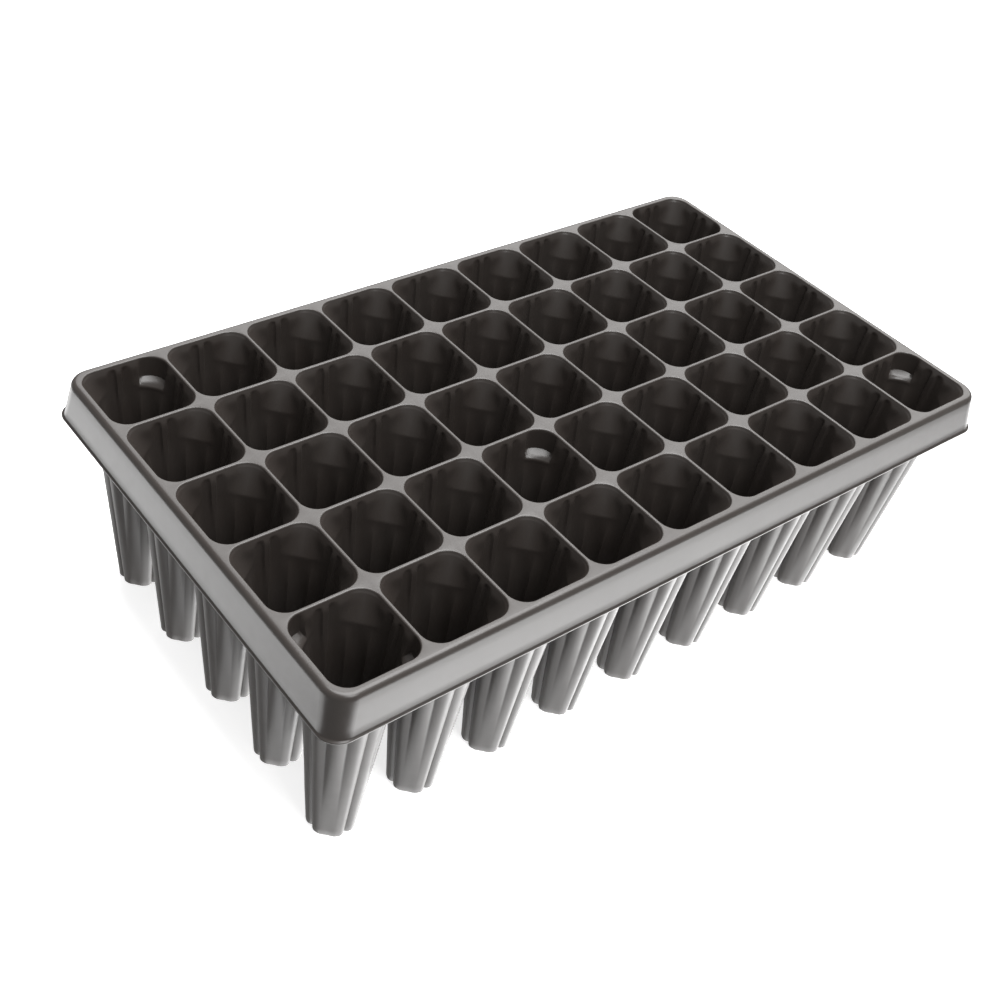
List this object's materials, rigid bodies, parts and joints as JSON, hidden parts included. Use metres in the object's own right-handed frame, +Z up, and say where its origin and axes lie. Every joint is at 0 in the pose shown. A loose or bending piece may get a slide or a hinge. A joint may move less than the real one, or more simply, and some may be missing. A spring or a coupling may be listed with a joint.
{
  "type": "plug tray",
  "caption": "Deep seedling tray: a grid of tapered fluted cells with drain holes, hung from one deck inside a stepped rim with a flared skirt.",
  "frame": {"origin": "middle of the tray on the plane that the feet stand on", "axes": "+X along the long side of nine cells, +Y along the short side of five cells, +Z up out of the cells"},
  "size_m": [0.535, 0.3054, 0.154],
  "materials": {
    "cell_plastic": "dark charcoal polystyrene, satin moulded surface",
    "rim_plastic": "dark charcoal polystyrene, satin moulded surface, slightly shinier on the rim"
  },
  "bodies": {
    "root": {"cell_r1_c1": "cell_plastic", "cell_r1_c2": "cell_plastic", "cell_r1_c3": "cell_plastic", "cell_r1_c4": "cell_plastic", "cell_r1_c5": "cell_plastic", "cell_r1_c6": "cell_plastic", "cell_r1_c7": "cell_plastic", "cell_r1_c8": "cell_plastic", "cell_r1_c9": "cell_plastic", "cell_r2_c1": "cell_plastic", "cell_r2_c2": "cell_plastic", "cell_r2_c3": "cell_plastic", "cell_r2_c4": "cell_plastic", "cell_r2_c5": "cell_plastic", "cell_r2_c6": "cell_plastic", "cell_r2_c7": "cell_plastic", "cell_r2_c8": "cell_plastic", "cell_r2_c9": "cell_plastic", "cell_r3_c1": "cell_plastic", "cell_r3_c2": "cell_plastic", "cell_r3_c3": "cell_plastic", "cell_r3_c4": "cell_plastic", "cell_r3_c5": "cell_plastic", "cell_r3_c6": "cell_plastic", "cell_r3_c7": "cell_plastic", "cell_r3_c8": "cell_plastic", "cell_r3_c9": "cell_plastic", "cell_r4_c1": "cell_plastic", "cell_r4_c2": "cell_plastic", "cell_r4_c3": "cell_plastic", "cell_r4_c4": "cell_plastic", "cell_r4_c5": "cell_plastic", "cell_r4_c6": "cell_plastic", "cell_r4_c7": "cell_plastic", "cell_r4_c8": "cell_plastic", "cell_r4_c9": "cell_plastic", "cell_r5_c1": "cell_plastic", "cell_r5_c2": "cell_plastic", "cell_r5_c3": "cell_plastic", "cell_r5_c4": "cell_plastic", "cell_r5_c5": "cell_plastic", "cell_r5_c6": "cell_plastic", "cell_r5_c7": "cell_plastic", "cell_r5_c8": "cell_plastic", "cell_r5_c9": "cell_plastic", "skirt_front": "rim_plastic", "skirt_right": "rim_plastic", "skirt_back": "rim_plastic", "skirt_left": "rim_plastic", "corner_front_left": "rim_plastic", "corner_front_right": "rim_plastic", "corner_back_right": "rim_plastic", "corner_back_left": "rim_plastic"}
  },
  "joints": []
}
